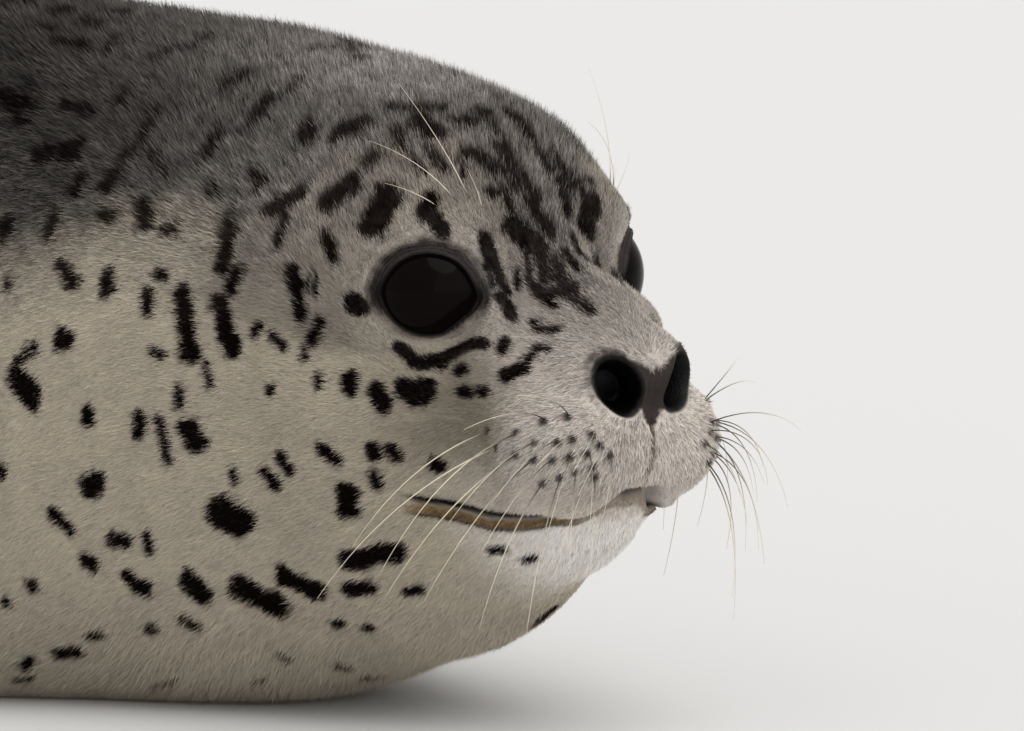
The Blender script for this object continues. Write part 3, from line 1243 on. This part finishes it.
whiskers = {
    "sides": 5,
    "steps": 14,
    "rootRadius": 0.29,
    "tipRadius": 0.07,
    "rear": 76,
    "front": 30,
    # root, way it sets out, way it ends, length: the long hairs over each eye
    "brow": [
        ((4.4, 28.9, 28.1), (-0.25, 0.35, 1.0), (-0.9, 0.25, 1.0), 41),
        ((2.1, 32.5, 27.8), (-0.4, 0.45, 0.8), (-1.0, 0.3, 0.25), 33),
        ((8.0, 27.0, 25.5), (0.3, 0.5, 0.9), (-0.2, 0.5, 1.0), 14),
        ((-2.0, 35.5, 25.5), (-0.3, 0.7, 0.6), (-0.9, 0.5, 0.2), 18),
    ],
}


def whiskerTube(root, start, end, length, thick):
    steps, sides = whiskers["steps"], whiskers["sides"]
    t = np.linspace(0, 1, steps + 1)
    way = unit(mix(np.array(start, float), np.array(end, float), (t ** 0.8)[:, None]))
    path = root + np.vstack([np.zeros(3), np.cumsum((way[1:] + way[:-1]) / 2 * length / steps, 0)])
    across = unit(np.cross(way, [0.3, 0.2, 1.0]))
    up = np.cross(way, across)
    turn = ringTurns(sides)
    radius = mix(whiskers["rootRadius"], whiskers["tipRadius"], t ** 0.9) * thick
    ring = across[:, None] * np.cos(turn)[None, :, None] + up[:, None] * np.sin(turn)[None, :, None]
    return (path[:, None] + ring * radius[:, None, None]).reshape(-1, 3), t


def addWhiskers():
    hairs, darkFor = [], []
    for side in (1, -1):
        for x, y, z in whiskerDots:
            rear = smoothStep(52, 26, x) * smoothStep(-30, -44, z) + 0.25 * smoothStep(-46, -52, z)
            root = np.array([x, y * side, z + eyeLevel])
            facing = unit(np.array([x - 22, y * side * 0.9, z + 46]) + 1e-6)
            jitter = random.normal(0, 0.09, 3)
            above = (z + 46) / 10 * (1 - min(rear, 1))
            sweep = np.array([-0.7, 0.25 * side, -0.42]) * (0.15 + rear)
            start = facing * 0.85 + sweep + jitter + [0, 0, 0.35 * above]
            end = np.array([-0.62 * (0.2 + rear), (0.4 + 0.35 * above) * side, -1.15 + 1.0 * above])
            end = end + jitter * 1.8
            length = mix(whiskers["front"], whiskers["rear"], min(rear, 1)) * random.uniform(0.75, 1.15)
            hairs.append((root - facing * 1.2, start, end, length, mix(0.8, 1.0, min(rear, 1))))
            darkFor.append(mix(1.0, 0.16, min(rear, 1)))
        for root, start, end, length in whiskers["brow"]:
            turned = [np.array(v, float) * [1, side, 1] for v in (root, start, end)]
            hairs.append((turned[0] + [0, 0, eyeLevel - 1.5], turned[1], turned[2], length, 0.6))
            darkFor.append(0.16)
    steps, sides = whiskers["steps"], whiskers["sides"]
    cells = tubeCells(steps + 1, sides)
    points, corners, colours, places = [], [], [], []
    for k, hair in enumerate(hairs):
        tube, t = whiskerTube(*hair)
        points.append(tube)
        corners.append(cells + k * (steps + 1) * sides)
        tone = mix(tints["whiskerRoot"], tints["whisker"], smoothStep(0.0, darkFor[k], t)[:, None])
        colours.append(np.repeat(tone, sides, 0))
        u0 = (k + 0.1) / len(hairs)
        v = np.repeat((cells // sides).min(1) / steps, 4).reshape(-1, 4) * 0.9 + 0.05
        square = np.array([[0, 0], [0.8, 0], [0.8, 1], [0, 1]]) * [1 / len(hairs), 0.9 / steps]
        places.append(np.stack([np.full(v.shape, u0), v], -1) + square)
    points, corners = np.concatenate(points), np.concatenate(corners)
    points[:, 2] = np.maximum(points[:, 2], 0.4)
    places, colours = np.concatenate(places).reshape(-1, 2), np.concatenate(colours)
    sidesEach = np.full(len(corners), 4)
    thing = meshObject("whiskers", toFrame(points), corners.ravel(), sidesEach, places, colours)
    thing.data.materials.append(tintMaterial("whisker", 0.4, 0.4))
    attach(thing, "root")


addWhiskers()
print("whiskers done")


# a claw: a cone bent towards the sole, set into the tip of its digit
def clawPoints(shape, side, digit, rows=10, columns=12):
    claw = shape["claw"]
    v = np.array([(digit + 0.5) / len(shape["digits"]) * 2 - 1])
    at = lambda u, upper: flipperPoints(shape, side, np.array([u]), v, np.array([upper]), 0.0)[0]
    tip = at(1.0, 0.0)
    forward = unit(tip - at(0.9, 0.0))
    up = unit(at(0.9, 1.0) - at(0.9, -1.0))
    aside = np.cross(forward, up)
    t, turn = np.meshgrid(np.linspace(0, 1, rows), ringTurns(columns), indexing="ij")
    t, turn = t.ravel(), turn.ravel()
    radius = claw["radius"] * np.sqrt(np.maximum(1 - t, 0)) * (1 - 0.35 * t) * 0.92
    along = t * claw["length"]
    high = np.cos(turn) * radius * 0.8 + 1.6 - claw["curl"] * along ** 2 / claw["length"]
    p = tip + (along - claw["length"] + claw["lead"])[:, None] * forward + high[:, None] * up
    p += (np.sin(turn) * radius)[:, None] * aside
    p[:, 2] = np.maximum(p[:, 2], 0.35)
    return p


def hornMaterial():
    material, nodes, links, shader = blankMaterial("horn")
    place = nodes.new("ShaderNodeTexCoord")
    grain = nodes.new("ShaderNodeTexNoise")
    grain.inputs["Scale"].default_value = 260
    grain.inputs["Detail"].default_value = 3
    ramp = nodes.new("ShaderNodeValToRGB")
    ramp.color_ramp.elements[0].position, ramp.color_ramp.elements[1].position = 0.35, 0.7
    ramp.color_ramp.elements[0].color = (0.012, 0.009, 0.008, 1)
    ramp.color_ramp.elements[1].color = (0.075, 0.060, 0.048, 1)
    links.new(place.outputs["Object"], grain.inputs["Vector"])
    links.new(grain.outputs["Fac"], ramp.inputs["Fac"])
    links.new(ramp.outputs["Color"], shader.inputs["Base Color"])
    shader.inputs["Roughness"].default_value = 0.38
    return material


def addClaws(kind, side, name, material):
    rows, columns = 10, 12
    cells = tubeCells(rows, columns)[:, ::side]
    c = np.arange(columns)
    shape = flippers[kind]
    digits = range(len(shape["digits"]))
    points = np.concatenate([clawPoints(shape, side, digit, rows, columns) for digit in digits])
    corners = np.concatenate([cells + digit * rows * columns for digit in digits])
    u = np.tile(np.stack([c, c + 1, c + 1, c], 1) / columns * 0.18, (rows - 1, 1))
    v = np.repeat(np.arange(rows - 1), columns)[:, None] / rows + np.array([0, 0, 1, 1]) / rows
    places = np.concatenate([np.stack([u + 0.2 * digit + 0.01, v + 0.02], -1) for digit in digits])
    places = places.reshape(-1, 2)
    sidesEach = np.full(len(corners), 4)
    thing = meshObject("claws_" + kind + "_" + name, toFrame(points), corners.ravel(), sidesEach, places)
    thing.data.materials.append(material)
    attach(thing, "root")
    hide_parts(*[kind + "_flipper_" + name + "_claw_" + str(digit + 1) for digit in digits])


horn = hornMaterial()
for kind in ("fore", "hind"):
    for side, name in bothSides:
        addClaws(kind, side, name, horn)


def addEye(side, name):
    bpy.ops.mesh.primitive_uv_sphere_add(segments=64, ring_count=40, radius=eyeBall["radius"] * 0.001)
    thing = bpy.context.object
    thing.name = name
    at = toFrame((eyeBall["at"] * [1, side, 1] + [0, 0, eyeLevel])[None])[0]
    thing.location = at
    bpy.ops.object.shade_smooth()
    material, _, _, shader = blankMaterial(name)
    shader.inputs["Base Color"].default_value = (0.0035, 0.0018, 0.002, 1)
    shader.inputs["Roughness"].default_value = 0.12
    shader.inputs["Specular IOR Level"].default_value = 0.04
    thing.data.materials.append(material)
    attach(thing, "root")
    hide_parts(name)


for side, name in bothSides:
    addEye(side, "eye_" + name)
print("claws and eyes done")


def addStage():
    bpy.ops.mesh.primitive_plane_add(size=240)
    floor = bpy.context.object
    floor.name = "floor"
    material, _, _, shader = blankMaterial("floor")
    shader.inputs["Base Color"].default_value = (0.80, 0.80, 0.80, 1)
    shader.inputs["Roughness"].default_value = 0.9
    shader.inputs["Specular IOR Level"].default_value = 0.0
    floor.data.materials.append(material)
    world = bpy.data.worlds.new("sky")
    bpy.context.scene.world = world
    world.use_nodes = True
    background = world.node_tree.nodes["Background"]
    background.inputs["Color"].default_value = (1.0, 0.985, 0.965, 1)
    background.inputs["Strength"].default_value = 0.66
    # where each light stands, strength and softness
    lamps = {
        "key": ((0.45, -0.25, 0.86), 1.25, 50),
        "low_fill": ((0.95, -0.55, 0.12), 0.6, 70),
    }
    for name, (place, energy, soft) in lamps.items():
        lamp = bpy.data.objects.new(name, bpy.data.lights.new(name, "SUN"))
        lamp.data.energy = energy
        lamp.data.angle = math.radians(soft)
        lamp.rotation_euler = Vector(place).to_track_quat("Z", "Y").to_euler()
        bpy.context.scene.collection.objects.link(lamp)
    bpy.context.scene.view_settings.view_transform = "Standard"


# where the camera stands, the size that one pixel shows, and how far the eyes are off the middle in pixels
view = {
    "azimuth": math.radians(18.0), "elevation": math.radians(6.8), "distance": 3.0,
    "pixel": 0.00030, "columns": 1024, "aside": 18, "below": 86.5, "sensor": 36,
}


def addCamera():
    azimuth, elevation, distance = view["azimuth"], view["elevation"], view["distance"]
    pixel, sensor = view["pixel"], view["sensor"]
    level = math.cos(elevation)
    back = np.array([math.sin(azimuth) * level, -math.cos(azimuth) * level, math.sin(elevation)])
    right = np.array([math.cos(azimuth), math.sin(azimuth), 0])
    up = np.cross(back, right)
    middle = toFrame(np.array([[0.0, 0.0, eyeLevel]]))[0]
    target = middle - right * view["aside"] * pixel - up * view["below"] * pixel
    camera = bpy.data.objects.new("camera", bpy.data.cameras.new("camera"))
    camera.data.sensor_width = sensor
    camera.data.lens = sensor * distance / (view["columns"] * pixel)
    camera.data.clip_end = 500
    turned = Matrix(np.stack([right, up, back], 1)).to_4x4()
    camera.matrix_world = Matrix.Translation(target + back * distance) @ turned
    bpy.context.scene.collection.objects.link(camera)
    bpy.context.scene.camera = camera


addStage()
addCamera()
print("stage done")
